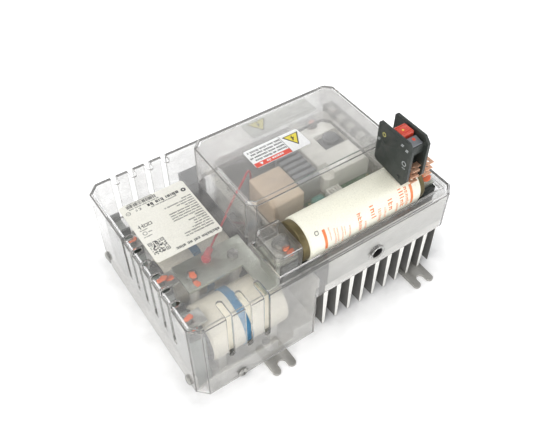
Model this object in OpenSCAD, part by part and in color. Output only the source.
// Power unit of a variable speed drive: clear cover over a heat sink, a fuse with
// its trip switch, capacitors, power module and bus bars, on two mounting rails.
// Millimetres. Origin: middle of the footprint, on the mounting plane.
// X runs along the front to the right, Y to the back, Z up.

/* [Cover] */
// Width of the cover along X
case_w = 300; // [280:1:320]
// Depth of the cover along Y
case_d = 208; // [200:1:220]
// Height of the main roof
roof_z = 110; // [106:1:116]
// Height of the raised roof box
turret_z = 157; // [140:1:170]
// Height of the cover's lower edge over the heat sink
skirt_z = 63; // [58:1:66]
// Cover wall thickness
wall = 3; // [2:0.5:3.5]
// Chamfer leg of the upright corners
corner = 10; // [6:1:12]
// Bevel along the roof edges
edge = 2; // [1:0.5:2.5]
// Width of one vent slot
slot_w = 6; // [4:0.5:8]

/* [Heat sink and tray] */
// Top face of the heat sink
sink_top = 72; // [70:1:75]
// Underside of the heat sink's top plate
sink_under = 61; // [58:1:63]
// Distance between fins
fin_pitch = 16.1; // [14:0.1:18]
// Height of the tray's flanges above the mounting plane
flange_z = 25; // [24:1:30]

/* [Rails] */
// Width of a mounting rail
rail_w = 26; // [22:1:32]
// Thickness of a mounting rail
rail_t = 3; // [2:0.5:4]
// Reach of the rails to the front and back
rail_reach = 123; // [118:1:130]
// Width of the fork slots and of the rear holes
foot_slot = 9; // [7:0.5:11]

/* [Fuse] */
// Radius of the fuse tube
fuse_r = 22; // [18:0.5:22.5]
// Height of the fuse axis
fuse_z = 115; // [112:1:118]
// Left end of the fuse tube
fuse_x0 = -20; // [-25:1:-15]
// Right end of the fuse tube
fuse_x1 = 111; // [100:1:112]

/* [Capacitors] */
// Radius of a large capacitor
cap_r = 27; // [20:0.5:27]
// Height of the capacitor axes
cap_z = 46; // [40:1:48]

/* [Hidden] */
$fn = 48;
half_w = case_w / 2;
half_d = case_d / 2;
cover_z = rail_t + 0.4;
step_x = -10;
turret_x0 = -55;
turret_x1 = 111;
turret_y0 = -47;
turret_y1 = 56;
window_x1 = 137;
window_y0 = -94;
fuse_y = -70.5;
blade_z = fuse_z - 2.5;
bar_t = 4;
rail_x = [-66, 115];
screw_z = 10;
side_screw_z = 67;
left_screws = [[-83, 10], [88, 19]];
right_screw_y = [-70, 70];
front_screw_x = -104;
hole_x = 50;
hole_z = 82.5;
cap_y = [-66, 2];
cap_x0 = -126;
cap_x1 = [-44, -52];
band_x = -89;
post_x = [-110, -66];
post_y = -32;
bus_z = 79;
term_y = [-72, -22, 35];
switch_x0 = 85;
switch_x1 = 107;
switch_y0 = -93;
switch_y1 = -48.5;
switch_z0 = 138.5;
switch_z1 = 189;
pins = [[-82, 145], [-57, 168]];
tab_z = [141, 148, 155];
joint_y = [-60, 0, 60];
joint_z = 66.5;
module_z = 100;
comb_x = 126;
board_z = 76;
lead_start = [-89, -22];
lead_z = 87.2;
lead_turn = 35.5;
lead_rise = 7;
lead_bend = 9;
lead_run = 113;
lead_drop = 28;
lead_r = 1.1;

// Rectangle with chamfered corners
module chamfered_rect(w, d, c) {
    polygon([
        [c - w / 2, -d / 2], [w / 2 - c, -d / 2], [w / 2, c - d / 2], [w / 2, d / 2 - c],
        [w / 2 - c, d / 2], [c - w / 2, d / 2], [-w / 2, d / 2 - c], [-w / 2, c - d / 2]
    ]);
}

module prism(w, d, c, z0, z1) {
    translate([0, 0, z0])
        linear_extrude(z1 - z0)
            chamfered_rect(w, d, c);
}

// Prism whose top edges are bevelled
module bevelled_prism(w, d, c, z0, z1, e) {
    hull() {
        prism(w, d, c, z0, z1 - e);
        prism(w - 2 * e, d - 2 * e, c - 0.6 * e, z0, z1);
    }
}

// Box given by its low and high corners
module box(low, high) {
    translate(low)
        cube(high - low);
}

// Cylinders lying along X and Y
module rod_x(r, x0, x1) {
    translate([x0, 0, 0])
        rotate([0, 90, 0])
            cylinder(r = r, h = x1 - x0);
}

module rod_y(r, y0, y1) {
    translate([0, y0, 0])
        rotate([-90, 0, 0])
            cylinder(r = r, h = y1 - y0);
}

// Pan head screw: head above Z = 0, shank below
module pan_screw(head_r, head_h, shank_r, shank_l) {
    difference() {
        rotate_extrude()
            polygon([
                [0, -shank_l], [shank_r, -shank_l], [shank_r, 0], [head_r, 0],
                [head_r, head_h * 0.45], [head_r * 0.86, head_h * 0.8],
                [head_r * 0.55, head_h], [0, head_h]
            ]);
        for (turn = [0, 90])
            rotate([0, 0, turn])
                box([-head_r * 0.55, -0.5, head_h * 0.45], [head_r * 0.55, 0.5, head_h + 1]);
    }
}

// Hexagon head bolt: head above Z = 0, shank below
module hex_bolt(head_r, head_h, shank_r, shank_l) {
    cylinder(r = head_r, h = head_h, $fn = 6);
    cylinder(r = head_r * 0.78, h = head_h + 0.6);
    translate([0, 0, -shank_l])
        cylinder(r = shank_r, h = shank_l + 1);
}

// Slot across a roof edge; local X points inward, local Z up, Z = 0 at the roof
module vent_slot(reach, drop) {
    box([-1, -slot_w / 2, -drop + slot_w / 2], [wall + 0.4, slot_w / 2, 1]);
    translate([0, 0, -drop + slot_w / 2])
        rod_x(slot_w / 2, -1, wall + 0.4);
    box([-1, -slot_w / 2, -wall - 0.4], [reach - slot_w / 2, slot_w / 2, 1]);
    translate([reach - slot_w / 2, 0, -wall - 0.4])
        cylinder(r = slot_w / 2, h = wall + 1.4);
}

// Open notch that lets the cover lift off a loosened screw; local X through the wall
module screw_notch(z_low, z_screw) {
    box([-wall - 1, -2.3, z_low - 1], [wall + 1, 2.3, z_screw]);
    translate([0, 0, z_screw])
        rod_x(2.3, -wall - 1, wall + 1);
}

module vents() {
    for (i = [0:5])
        translate([-half_w, -66.3 + 17.6 * i, roof_z])
            vent_slot(11, 58);
    for (i = [0:2])
        translate([-113 + 19 * i, -half_d, roof_z])
            rotate([0, 0, 90])
                vent_slot(19.5, 62);
    for (i = [0:3])
        translate([-121 + 18.5 * i, half_d, roof_z])
            rotate([0, 0, -90])
                vent_slot(14, 62);
}

module cover_notches() {
    for (p = left_screws)
        translate([-half_w, p[0], 0])
            screw_notch(cover_z, p[1]);
    for (y = right_screw_y)
        translate([half_w, y, 0])
            screw_notch(skirt_z, side_screw_z);
    for (y = [-half_d, half_d])
        translate([front_screw_x, y, 0])
            rotate([0, 0, 90])
                screw_notch(cover_z, screw_z);
}

module cover_outside() {
    turret_w = turret_x1 - turret_x0;
    turret_d = turret_y1 - turret_y0;
    bevelled_prism(case_w, case_d, corner, skirt_z, roof_z, edge);
    translate([(step_x - half_w) / 2, 0, 0])
        prism(step_x + half_w, case_d, corner, cover_z, skirt_z);
    translate([turret_x0 + turret_w / 2, turret_y0 + turret_d / 2, 0])
        bevelled_prism(turret_w, turret_d, 8, roof_z - 1, turret_z, edge + 1);
}

module cover_inside() {
    turret_w = turret_x1 - turret_x0 - 2 * wall;
    turret_d = turret_y1 - turret_y0 - 2 * wall;
    inner_c = corner - 0.586 * wall;
    inner_w = case_w - 2 * wall;
    inner_d = case_d - 2 * wall;
    bevelled_prism(inner_w, inner_d, inner_c, skirt_z - 1, roof_z - wall, edge - 0.5);
    translate([(step_x - half_w) / 2, 0, 0])
        prism(step_x + half_w - 2 * wall, inner_d, inner_c, 0, skirt_z + 1);
    translate([turret_x0 + wall + turret_w / 2, turret_y0 + wall + turret_d / 2, 0])
        bevelled_prism(turret_w, turret_d, 6.3, roof_z - wall - 2, turret_z - wall, edge);
    gap_y = half_d - corner - 0.5;
    box([step_x - wall - 2, -gap_y, 0], [step_x + 2, gap_y, skirt_z + 1]);
}

// Low rim around the fuse window
module window_rim() {
    difference() {
        box([turret_x0 - 1.8, window_y0 - 2, roof_z - 1],
            [window_x1 + 2, turret_y0, roof_z + 1.6]);
        box([turret_x0, window_y0, roof_z - 2], [window_x1, turret_y0 + 1, roof_z + 3]);
    }
}

module clear_cover() {
    color([0.8, 0.84, 0.88, 0.35])
        difference() {
            union() {
                cover_outside();
                window_rim();
                translate([hole_x, -half_d, hole_z])
                    rod_y(8.5, -2.4, 1);
            }
            cover_inside();
            box([turret_x0, window_y0, roof_z - wall - 1], [window_x1, turret_y0, roof_z + 3]);
            vents();
            cover_notches();
            translate([hole_x, -half_d, hole_z])
                rod_y(6.2, -4, wall + 2);
        }
}

module rating_label() {
    color([0.93, 0.92, 0.86])
        translate([-101.5, 19.5, 0])
            prism(69, 79, 2, roof_z, roof_z + 0.3);
}

module warning_label() {
    color([0.95, 0.95, 0.93])
        translate([8, 2, 0])
            prism(61, 25, 1.5, turret_z, turret_z + 0.3);
}

module rear_label() {
    color([0.86, 0.87, 0.84])
        translate([66, 82.5, 0])
            prism(84, 24, 1.5, roof_z, roof_z + 0.3);
}

module cover_screws() {
    color([0.62, 0.63, 0.64]) {
        for (p = left_screws)
            translate([-half_w - 0.3, p[0], p[1]])
                rotate([0, -90, 0])
                    pan_screw(5.2, 2.6, 2, 5.5);
        for (y = right_screw_y)
            translate([half_w + 0.3, y, side_screw_z])
                rotate([0, 90, 0])
                    pan_screw(5.2, 2.6, 2, 14);
        for (side = [-1, 1])
            translate([front_screw_x, side * (half_d + 0.3), screw_z])
                rotate([-side * 90, 0, 0])
                    pan_screw(5.2, 2.6, 2, 5.5);
    }
}

// One tapered fin hanging from the top plate
module fin_profile(x) {
    translate([x, 0])
        polygon([
            [-3.6, sink_under + 1], [-2.7, sink_under - 5], [-1.5, rail_t],
            [1.5, rail_t], [2.7, sink_under - 5], [3.6, sink_under + 1]
        ]);
}

module heat_sink() {
    color([0.72, 0.73, 0.74])
        difference() {
            intersection() {
                rotate([90, 0, 0])
                    linear_extrude(201, center = true)
                        union() {
                            translate([-9, sink_under])
                                square([155.6, sink_top - sink_under]);
                            for (i = [0:9])
                                fin_profile(-5.4 + fin_pitch * i);
                        }
                prism(293.2, 201, 9, 0, sink_top + 1);
            }
            for (y = right_screw_y)
                translate([0, y, side_screw_z])
                    rod_x(2.05, 134, 148);
            for (y = joint_y)
                translate([0, y, joint_z])
                    rod_x(2.05, -10, 0);
        }
}

// Grey liner sheet standing behind the cover's front wall
module front_liner() {
    color([0.72, 0.72, 0.69])
        difference() {
            box([-6, -100.4, sink_top], [138.4, -99.4, 104]);
            translate([hole_x, 0, hole_z])
                rod_y(7.5, -102, -98);
        }
}

// Sheet metal tray: floor, three low flanges and a tall one beside the heat sink
module tray() {
    color([0.66, 0.67, 0.68])
        difference() {
            union() {
                box([-146.6, -92.3, rail_t], [-9, 92.3, rail_t + 2]);
                box([-138, -100.6, rail_t], [-22, 100.6, rail_t + 2]);
                box([-146.6, -92.3, rail_t], [-144.6, 92.3, flange_z]);
                box([-138, -100.6, rail_t], [-22, -98.6, flange_z]);
                box([-138, 98.6, rail_t], [-22, 100.6, flange_z]);
                box([-11, -92, rail_t], [-9, 92, sink_top]);
            }
            for (p = left_screws)
                translate([0, p[0], p[1]])
                    rod_x(2.05, -148, -143);
            for (side = [-1, 1])
                translate([front_screw_x, 0, screw_z])
                    rod_y(2.05, side * 100 - 3, side * 100 + 3);
            for (y = joint_y)
                translate([0, y, joint_z])
                    rod_x(2.3, -12, -8);
            for (y = [-85, 90])
                translate([rail_x[0], y, 0])
                    cylinder(r = 2.05, h = 8);
            box([rail_x[0] + 4, -102, 12], [rail_x[0] + 22, -97, flange_z + 1]);
        }
}

// Rail with an open fork at the front and a round hole at the back
module rail(x) {
    prong = (rail_w - foot_slot) / 2;
    slot_y = -rail_reach + 8;
    translate([x, 0, 0])
        linear_extrude(rail_t)
            difference() {
                union() {
                    translate([-rail_w / 2, -rail_reach + prong / 2])
                        square([rail_w, 2 * rail_reach - prong / 2 - rail_w / 2]);
                    for (side = [-1, 1])
                        translate([side * (rail_w - prong) / 2, -rail_reach + prong / 2])
                            circle(r = prong / 2);
                    translate([0, rail_reach - rail_w / 2])
                        circle(r = rail_w / 2);
                }
                translate([-foot_slot / 2, -rail_reach - 5])
                    square([foot_slot, slot_y + rail_reach + 5]);
                translate([0, slot_y])
                    circle(r = foot_slot / 2);
                translate([0, -slot_y])
                    circle(r = foot_slot / 2);
            }
}

module rail_left() {
    color([0.6, 0.6, 0.59])
        difference() {
            rail(rail_x[0]);
            for (y = [-85, 90])
                translate([rail_x[0], y, -1])
                    cylinder(r = 2.05, h = 6);
        }
}

module rail_right() {
    color([0.6, 0.6, 0.59])
        rail(rail_x[1]);
}

module rail_screws() {
    color([0.62, 0.63, 0.64])
        for (y = [-85, 90])
            translate([rail_x[0], y, rail_t + 2])
                pan_screw(4, 2.4, 2, 4.6);
}

module joint_screws() {
    color([0.62, 0.63, 0.64])
        for (y = joint_y)
            translate([-11, y, joint_z])
                rotate([0, -90, 0])
                    pan_screw(4, 2.4, 2, 10.5);
}

module fuse_tube() {
    color([0.94, 0.92, 0.8])
        translate([0, fuse_y, fuse_z])
            difference() {
                union() {
                    rod_x(fuse_r, fuse_x0 + 1, fuse_x1 - 1);
                    rod_x(fuse_r - 0.8, fuse_x0, fuse_x1);
                }
                rod_x(14, fuse_x0 - 1, fuse_x1 + 1);
            }
}

// Metal ferrules with a spigot inside each end of the tube
module fuse_ferrules() {
    color([0.33, 0.28, 0.17])
        translate([0, fuse_y, fuse_z]) {
            rod_x(20.5, fuse_x0 - 7, fuse_x0);
            rod_x(13.9, fuse_x0 - 1, fuse_x0 + 14);
            rod_x(20.5, fuse_x1, fuse_x1 + 6);
            rod_x(13.9, fuse_x1 - 14, fuse_x1 + 1);
        }
}

module blade(x0, x1, bolt_x) {
    difference() {
        translate([(x0 + x1) / 2, fuse_y, blade_z])
            linear_extrude(5)
                chamfered_rect(x1 - x0, 24, 2);
        translate([bolt_x, fuse_y, blade_z - 1])
            cylinder(r = 4.3, h = 8);
    }
}

module fuse_blades() {
    color([0.75, 0.75, 0.72]) {
        blade(-49, fuse_x0 - 7, -38);
        blade(fuse_x1 + 6, 136, 127);
    }
}

module fuse_bolts() {
    color([0.7, 0.7, 0.68])
        for (x = [-38, 127])
            translate([x, fuse_y, blade_z + 6.5])
                hex_bolt(7.5, 5, 4, 25);
}

module fuse_washers() {
    color([0.76, 0.76, 0.74])
        for (x = [-38, 127])
            translate([x, fuse_y, blade_z + 5])
                difference() {
                    cylinder(r = 8.6, h = 1.5);
                    translate([0, 0, -1])
                        cylinder(r = 4.3, h = 4);
                }
}

// Clear cap over the left fuse terminal, open below and towards the fuse
module terminal_shield() {
    color([0.82, 0.85, 0.88, 0.4])
        difference() {
            translate([-36, -69, 0])
                bevelled_prism(36, 41, 5, roof_z - 6, 129, 2.5);
            translate([-36, -69, 0])
                bevelled_prism(32, 37, 4, roof_z - 8, 127, 1.5);
            box([-27.4, -91, roof_z - 8], [-16, -46, 137]);
        }
}

// Insulator blocks under the fuse terminals
module insulator(low, high, bolt_x) {
    difference() {
        union() {
            box(low, high);
            children();
        }
        translate([bolt_x, fuse_y, 91])
            cylinder(r = 4.05, h = 30);
    }
}

module left_insulator() {
    color([0.1, 0.1, 0.1])
        insulator([-46.5, -86, 78], [-30, -55, blade_z - bar_t], -38)
            union() {
                box([-46.5, -86, 78], [6, -55, 90]);
                box([-8, -86, sink_top], [6, -55, 79]);
            }
}

module right_insulator() {
    color([0.1, 0.1, 0.1])
        insulator([118.5, -88, sink_top], [136, -57.2, blade_z - bar_t], 127);
}

// Bar from the left fuse terminal, down and over the gap between the capacitors
module left_bus_bar() {
    color([0.45, 0.47, 0.42])
        difference() {
            union() {
                box([-51.5, -84, blade_z - bar_t], [-29, -57.5, blade_z]);
                box([-51.5, -84, bus_z], [-48, -57.5, blade_z]);
                box([-64, -84, bus_z], [-48, -12, bus_z + bar_t]);
                box([-121, -46, bus_z], [-48, -12, bus_z + bar_t]);
            }
            translate([-38, fuse_y, 100])
                cylinder(r = 4.3, h = 20);
            for (x = post_x)
                translate([x, post_y, bus_z - 1])
                    cylinder(r = 3.3, h = 8);
            translate([lead_start[0], lead_start[1], bus_z - 1])
                cylinder(r = 2.1, h = 8);
        }
}

// Bar from the right fuse terminal, down below the roof and back to the notched bar
module right_bus_bar() {
    color([0.45, 0.47, 0.42])
        difference() {
            union() {
                box([118.5, -84, blade_z - bar_t], [136, -53, blade_z]);
                box([118.5, -57, module_z], [136, -53, blade_z]);
                box([118.5, -57, module_z], [136, 7, module_z + bar_t]);
            }
            translate([127, fuse_y, 100])
                cylinder(r = 4.3, h = 20);
            translate([131, 0, 98])
                cylinder(r = 3.3, h = 8);
        }
}

// Cheek plate of the trip switch
module cheek(x0, x1) {
    translate([x0, 0, 0])
        rotate([90, 0, 90])
            linear_extrude(x1 - x0)
                difference() {
                    polygon([
                        [switch_y0, switch_z0 + 8], [switch_y0 + 5, switch_z0],
                        [switch_y1 - 3, switch_z0 + 5], [switch_y1, switch_z0 + 8],
                        [switch_y1, switch_z1 - 1.5], [switch_y1 - 1.5, switch_z1],
                        [switch_y0 + 6, switch_z1], [switch_y0, switch_z1 - 6]
                    ]);
                    for (p = pins)
                        translate(p)
                            circle(r = 2.1);
                }
}

module switch_cheeks() {
    color([0.07, 0.07, 0.07]) {
        cheek(switch_x0, switch_x0 + 3);
        difference() {
            cheek(switch_x1 - 3, switch_x1);
            for (z = tab_z)
                box([switch_x1 - 4, -90.2, z - 0.2], [switch_x1 + 1, -83.8, z + 1.2]);
        }
    }
}

// Switch body between the cheeks, with a foot that rides on the fuse tube
module switch_body() {
    color([0.1, 0.1, 0.11])
        difference() {
            union() {
                box([88, -82, 140], [104, -52, 175]);
                box([88, -88.5, 172], [104, -76.6, 182]);
                box([88, -61.4, 172], [104, -58.6, 183]);
                box([90, fuse_y - 9, fuse_z + 15], [102, fuse_y + 9, 147]);
                for (p = pins)
                    translate([0, p[0], p[1]])
                        rod_x(2, switch_x0 - 0.6, switch_x1 + 0.6);
            }
            translate([0, fuse_y, fuse_z])
                rod_x(fuse_r, 80, 110);
            box([92.2, -74.3, 167.5], [99.8, -63.7, 176]);
            for (z = tab_z)
                box([91.9, -83, z - 0.1], [100.1, -79.9, z + 1.1]);
        }
}

module switch_button() {
    color([0.78, 0.13, 0.08]) {
        difference() {
            translate([96, -69, 0])
                bevelled_prism(14.6, 14, 1.5, 177.5, 188, 1.2);
            for (y = [-73.5, -65.2])
                box([87, y, 187.3], [105, y + 0.8, 189]);
        }
        box([92.5, -74, 171], [99.5, -64, 179]);
    }
}

// Grey window in front of the button
module switch_window() {
    color([0.45, 0.46, 0.48])
        translate([90, 0, 0])
            rotate([90, 0, 90])
                linear_extrude(12)
                    polygon([[-88, 182], [-77.6, 182], [-77.6, 184.8], [-79, 185.4], [-88, 183.4]]);
}

// Contact tabs: each leaves the body at the front and turns out through the right cheek
module switch_tabs() {
    color([0.72, 0.42, 0.25])
        for (z = tab_z)
            translate([0, 0, z])
                linear_extrude(1)
                    difference() {
                        polygon([
                            [92, -93.5], [100, -93.5], [100, -90], [109, -90], [109, -93.5],
                            [117.5, -93.5], [117.5, -84], [100, -84], [100, -80], [92, -80]
                        ]);
                        translate([96, -89.5])
                            circle(r = 1.2);
                        translate([113.5, -89.5])
                            circle(r = 1.2);
                    }
}

module capacitor(i) {
    translate([0, cap_y[i], cap_z]) {
        rod_x(cap_r, cap_x0 + 1.5, cap_x1[i] - 1.5);
        rod_x(cap_r - 1.2, cap_x0, cap_x1[i]);
    }
}

module front_capacitor() {
    color([0.9, 0.87, 0.78])
        capacitor(0);
}

module second_capacitor() {
    color([0.9, 0.87, 0.78])
        capacitor(1);
}

// Dark rings and stubs on the capacitors' left ends
module capacitor_rings() {
    color([0.12, 0.12, 0.13])
        for (y = cap_y)
            translate([0, y, cap_z]) {
                difference() {
                    rod_x(cap_r - 1.6, cap_x0 - 2.5, cap_x0);
                    rod_x(cap_r - 5, cap_x0 - 4, cap_x0 + 1);
                }
                rod_x(6, cap_x0 - 2, cap_x0);
            }
}

module capacitor_bands() {
    color([0.16, 0.33, 0.56])
        for (i = [0, 1])
            translate([0, cap_y[i], cap_z]) {
                difference() {
                    rod_x(cap_r + 1.2, band_x - 4, band_x + 4);
                    rod_x(cap_r, band_x - 5, band_x + 5);
                }
                box([band_x - 3.5, -6, cap_r + 0.6], [band_x + 3.5, 4, cap_r + 4]);
            }
}

module cradles() {
    color([0.84, 0.84, 0.82])
        for (i = [0, 1])
            for (x = [-120, -61.5])
                difference() {
                    box([x, cap_y[i] - 20, rail_t + 2], [x + 9, cap_y[i] + 20, 28]);
                    translate([0, cap_y[i], cap_z])
                        rod_x(cap_r + 0.02, x - 1, x + 10);
                }
}

module bus_posts() {
    color([0.86, 0.86, 0.84])
        for (x = post_x)
            translate([x, post_y, rail_t + 2])
                difference() {
                    cylinder(r = 5, h = bus_z - rail_t - 2);
                    translate([0, 0, 58])
                        cylinder(r = 3.05, h = 20);
                }
}

module bus_bolts() {
    color([0.7, 0.7, 0.68])
        for (x = post_x)
            translate([x, post_y, bus_z + bar_t])
                hex_bolt(5.8, 4.2, 3, 16);
}

// Grey block along the left wall, with a pocket under each bar
module terminal_block() {
    color([0.5, 0.53, 0.51])
        difference() {
            union() {
                box([-144.4, -90, rail_t + 2], [-130, 74, 22]);
                box([-144.4, -90, 22], [-132, 74, 80]);
            }
            for (y = term_y)
                translate([-138.2, y, 60])
                    cylinder(r = 3.05, h = 30);
            box([-150, -56.5, 62], [-131, -37.5, 81]);
            box([-150, -5.5, 62], [-131, 18.5, 81]);
        }
}

module terminal_barriers() {
    color([0.09, 0.09, 0.1])
        for (y = [-88, -58, -36, -8, 21, 49, 72])
            box([-144.4, y - 1.2, 80], [-132, y + 1.2, 90]);
}

module terminal_bars() {
    color([0.62, 0.62, 0.58])
        for (y = term_y)
            difference() {
                box([-144, y - 8, 80], [-122, y + 8, 83]);
                translate([-138.2, y, 79])
                    cylinder(r = 3.3, h = 6);
            }
}

module terminal_bolts() {
    color([0.7, 0.7, 0.68])
        for (y = term_y)
            translate([-138.2, y, 83])
                hex_bolt(5.4, 4.2, 3, 20);
}

// Upright plate between the capacitors and the parts on the heat sink
module divider() {
    color([0.08, 0.08, 0.09]) {
        box([-48, -8, rail_t + 2], [-44, 82, 88]);
        box([-60, 60, rail_t + 2], [-38, 82, 96]);
        box([-47.5, -8, rail_t + 2], [-34, 14, 86]);
    }
}

// Frame of the lead: local X along it, local Y up across it
module along_lead() {
    translate([lead_start[0], lead_start[1], lead_z])
        rotate([90, 0, lead_turn])
            rotate([0, 0, lead_rise])
                children();
}

// Lead that rises gently, then turns down to the heat sink
module red_lead() {
    color([0.62, 0.1, 0.12])
        along_lead()
            union() {
                rod_x(lead_r, 7.5, lead_run - lead_bend);
                translate([lead_run - lead_bend, -lead_bend, 0])
                    rotate_extrude(angle = 90)
                        translate([lead_bend, 0])
                            circle(r = lead_r);
                translate([lead_run, 0, 0])
                    rod_y(lead_r, -lead_drop, -lead_bend);
            }
}

// Sleeve and ring terminal where the lead meets the bus bar
module red_sleeve() {
    color([0.75, 0.14, 0.13]) {
        along_lead()
            difference() {
                rod_x(3.4, -0.5, 9.5);
                rod_x(lead_r + 0.05, 6.5, 12);
            }
        translate([lead_start[0], lead_start[1], bus_z + bar_t])
            cylinder(r = 4.6, h = 3.4);
        translate([lead_start[0], lead_start[1], bus_z])
            cylinder(r = 2, h = 6);
    }
}

module box_capacitor() {
    color([0.78, 0.68, 0.55])
        translate([11, 8, 0])
            bevelled_prism(38, 44, 1.5, sink_top, module_z, 1.2);
}

// Resistor in a ribbed housing
module resistor_block() {
    color([0.5, 0.51, 0.52])
        difference() {
            translate([46, 20, 0])
                bevelled_prism(28, 44, 1.5, sink_top, 98, 1);
            for (i = [-2:2])
                box([30, 20 + 8 * i - 1.5, 93], [62, 20 + 8 * i + 1.5, 99]);
        }
}

module power_module() {
    color([0.9, 0.89, 0.85])
        difference() {
            translate([92, 34, 0])
                bevelled_prism(60, 84, 4, sink_top, module_z, 1.2);
            box([84, 21, module_z - 6], [114, 44, module_z + 1]);
            box([61, -9, module_z - 8], [72, 6, module_z + 1]);
            box([61, 60, module_z - 8], [72, 77, module_z + 1]);
            translate([94, 62, 84])
                cylinder(r = 3.05, h = 20);
        }
}

module module_knob() {
    color([0.45, 0.45, 0.46])
        translate([100, 34, module_z - 6]) {
            box([-13, -10.5, 0], [12, 7.5, 2.5]);
            cylinder(r = 9, h = 6.5);
            cylinder(r = 6.5, h = 7.5);
        }
}

module module_bolt() {
    color([0.7, 0.7, 0.68]) {
        translate([94, 62, module_z + 1.6])
            hex_bolt(6.4, 4, 3, 17);
        translate([94, 62, module_z])
            difference() {
                cylinder(r = 7.6, h = 1.6);
                translate([0, 0, -1])
                    cylinder(r = 2.9, h = 4);
            }
    }
}

module notched_bar() {
    color([0.42, 0.44, 0.46])
        difference() {
            box([comb_x, -9, sink_top], [comb_x + 14, 82, module_z]);
            translate([131, 0, 84])
                cylinder(r = 3.05, h = 20);
            for (i = [0:3])
                box([comb_x - 1, 14 + 17 * i, module_z - 5], [comb_x + 8, 22 + 17 * i, module_z + 1]);
        }
}

module bar_teeth() {
    color([0.93, 0.92, 0.89])
        for (i = [0:3])
            box([comb_x, 14 + 17 * i, module_z - 5], [comb_x + 8, 22 + 17 * i, module_z + 1.5]);
}

module bar_bolt() {
    color([0.7, 0.7, 0.68])
        translate([131, 0, module_z + bar_t])
            hex_bolt(4.6, 1.9, 3, 18);
}

module circuit_board() {
    color([0.2, 0.33, 0.24])
        difference() {
            box([33, -43, board_z], [117, -10, board_z + 1.6]);
            for (x = [37, 113])
                for (y = [-39, -14])
                    translate([x, y, board_z - 1])
                        cylinder(r = 1.6, h = 4, $fn = 24);
        }
}

module board_spacers() {
    color([0.74, 0.7, 0.5])
        for (x = [37, 113])
            for (y = [-39, -14])
                translate([x, y, sink_top]) {
                    cylinder(r = 3, h = board_z - sink_top, $fn = 24);
                    cylinder(r = 1.55, h = board_z - sink_top + 3, $fn = 24);
                }
}

module board_connector() {
    color([0.9, 0.88, 0.78])
        difference() {
            box([57, -22, board_z + 1.6], [73, -13, board_z + 11]);
            for (i = [0:3])
                box([58.6 + 3.6 * i, -20.5, board_z + 4], [60.8 + 3.6 * i, -14.5, board_z + 12]);
        }
}

module board_component() {
    color([0.2, 0.5, 0.47])
        translate([45, -17, 0])
            bevelled_prism(13, 8, 1, board_z + 1.6, board_z + 9.5, 0.8);
}

clear_cover();
rating_label();
warning_label();
rear_label();
cover_screws();
heat_sink();
front_liner();
tray();
rail_left();
rail_right();
rail_screws();
joint_screws();
fuse_tube();
fuse_ferrules();
fuse_blades();
fuse_bolts();
fuse_washers();
terminal_shield();
left_insulator();
right_insulator();
left_bus_bar();
right_bus_bar();
switch_cheeks();
switch_body();
switch_button();
switch_window();
switch_tabs();
front_capacitor();
second_capacitor();
capacitor_rings();
capacitor_bands();
cradles();
bus_posts();
bus_bolts();
terminal_block();
terminal_barriers();
terminal_bars();
terminal_bolts();
divider();
red_lead();
red_sleeve();
box_capacitor();
resistor_block();
power_module();
module_knob();
module_bolt();
notched_bar();
bar_teeth();
bar_bolt();
circuit_board();
board_spacers();
board_connector();
board_component();
